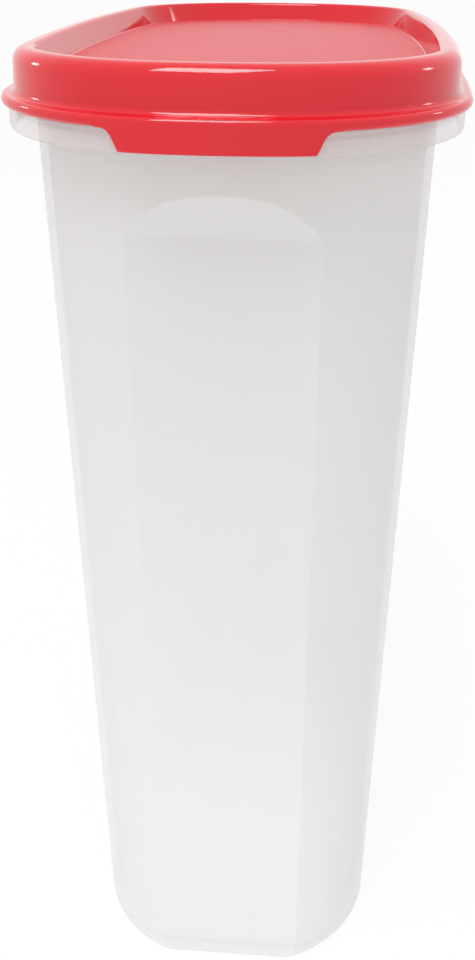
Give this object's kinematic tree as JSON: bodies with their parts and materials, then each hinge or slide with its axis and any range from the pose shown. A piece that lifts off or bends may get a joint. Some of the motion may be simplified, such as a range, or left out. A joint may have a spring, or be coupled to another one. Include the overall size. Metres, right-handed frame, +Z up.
{
  "type": "storage canister with press-on lid",
  "caption": "Tall oval translucent storage canister with flat end grips, a collared rim and a recessed red press-on lid with a pull tab.",
  "frame": {"origin": "middle of the canister's base, on the plane that it stands on", "axes": "+Z up, X across the narrow width, Y along the length with the lid's pull tab at -Y"},
  "size_m": [0.097, 0.194, 0.227],
  "materials": {
    "translucent_plastic": "milky translucent polypropylene, satin to gloss",
    "red_plastic": "opaque glossy polyethylene with a finely textured panel"
  },
  "bodies": {
    "canister": {"canister_body": "translucent_plastic"},
    "lid": {"lid": "red_plastic"}
  },
  "joints": [
    {"name": "lid_lift", "type": "slide", "parent": "canister", "child": "lid", "axis": [0, 0, 1], "range_m": [0, 0.06]}
  ]
}
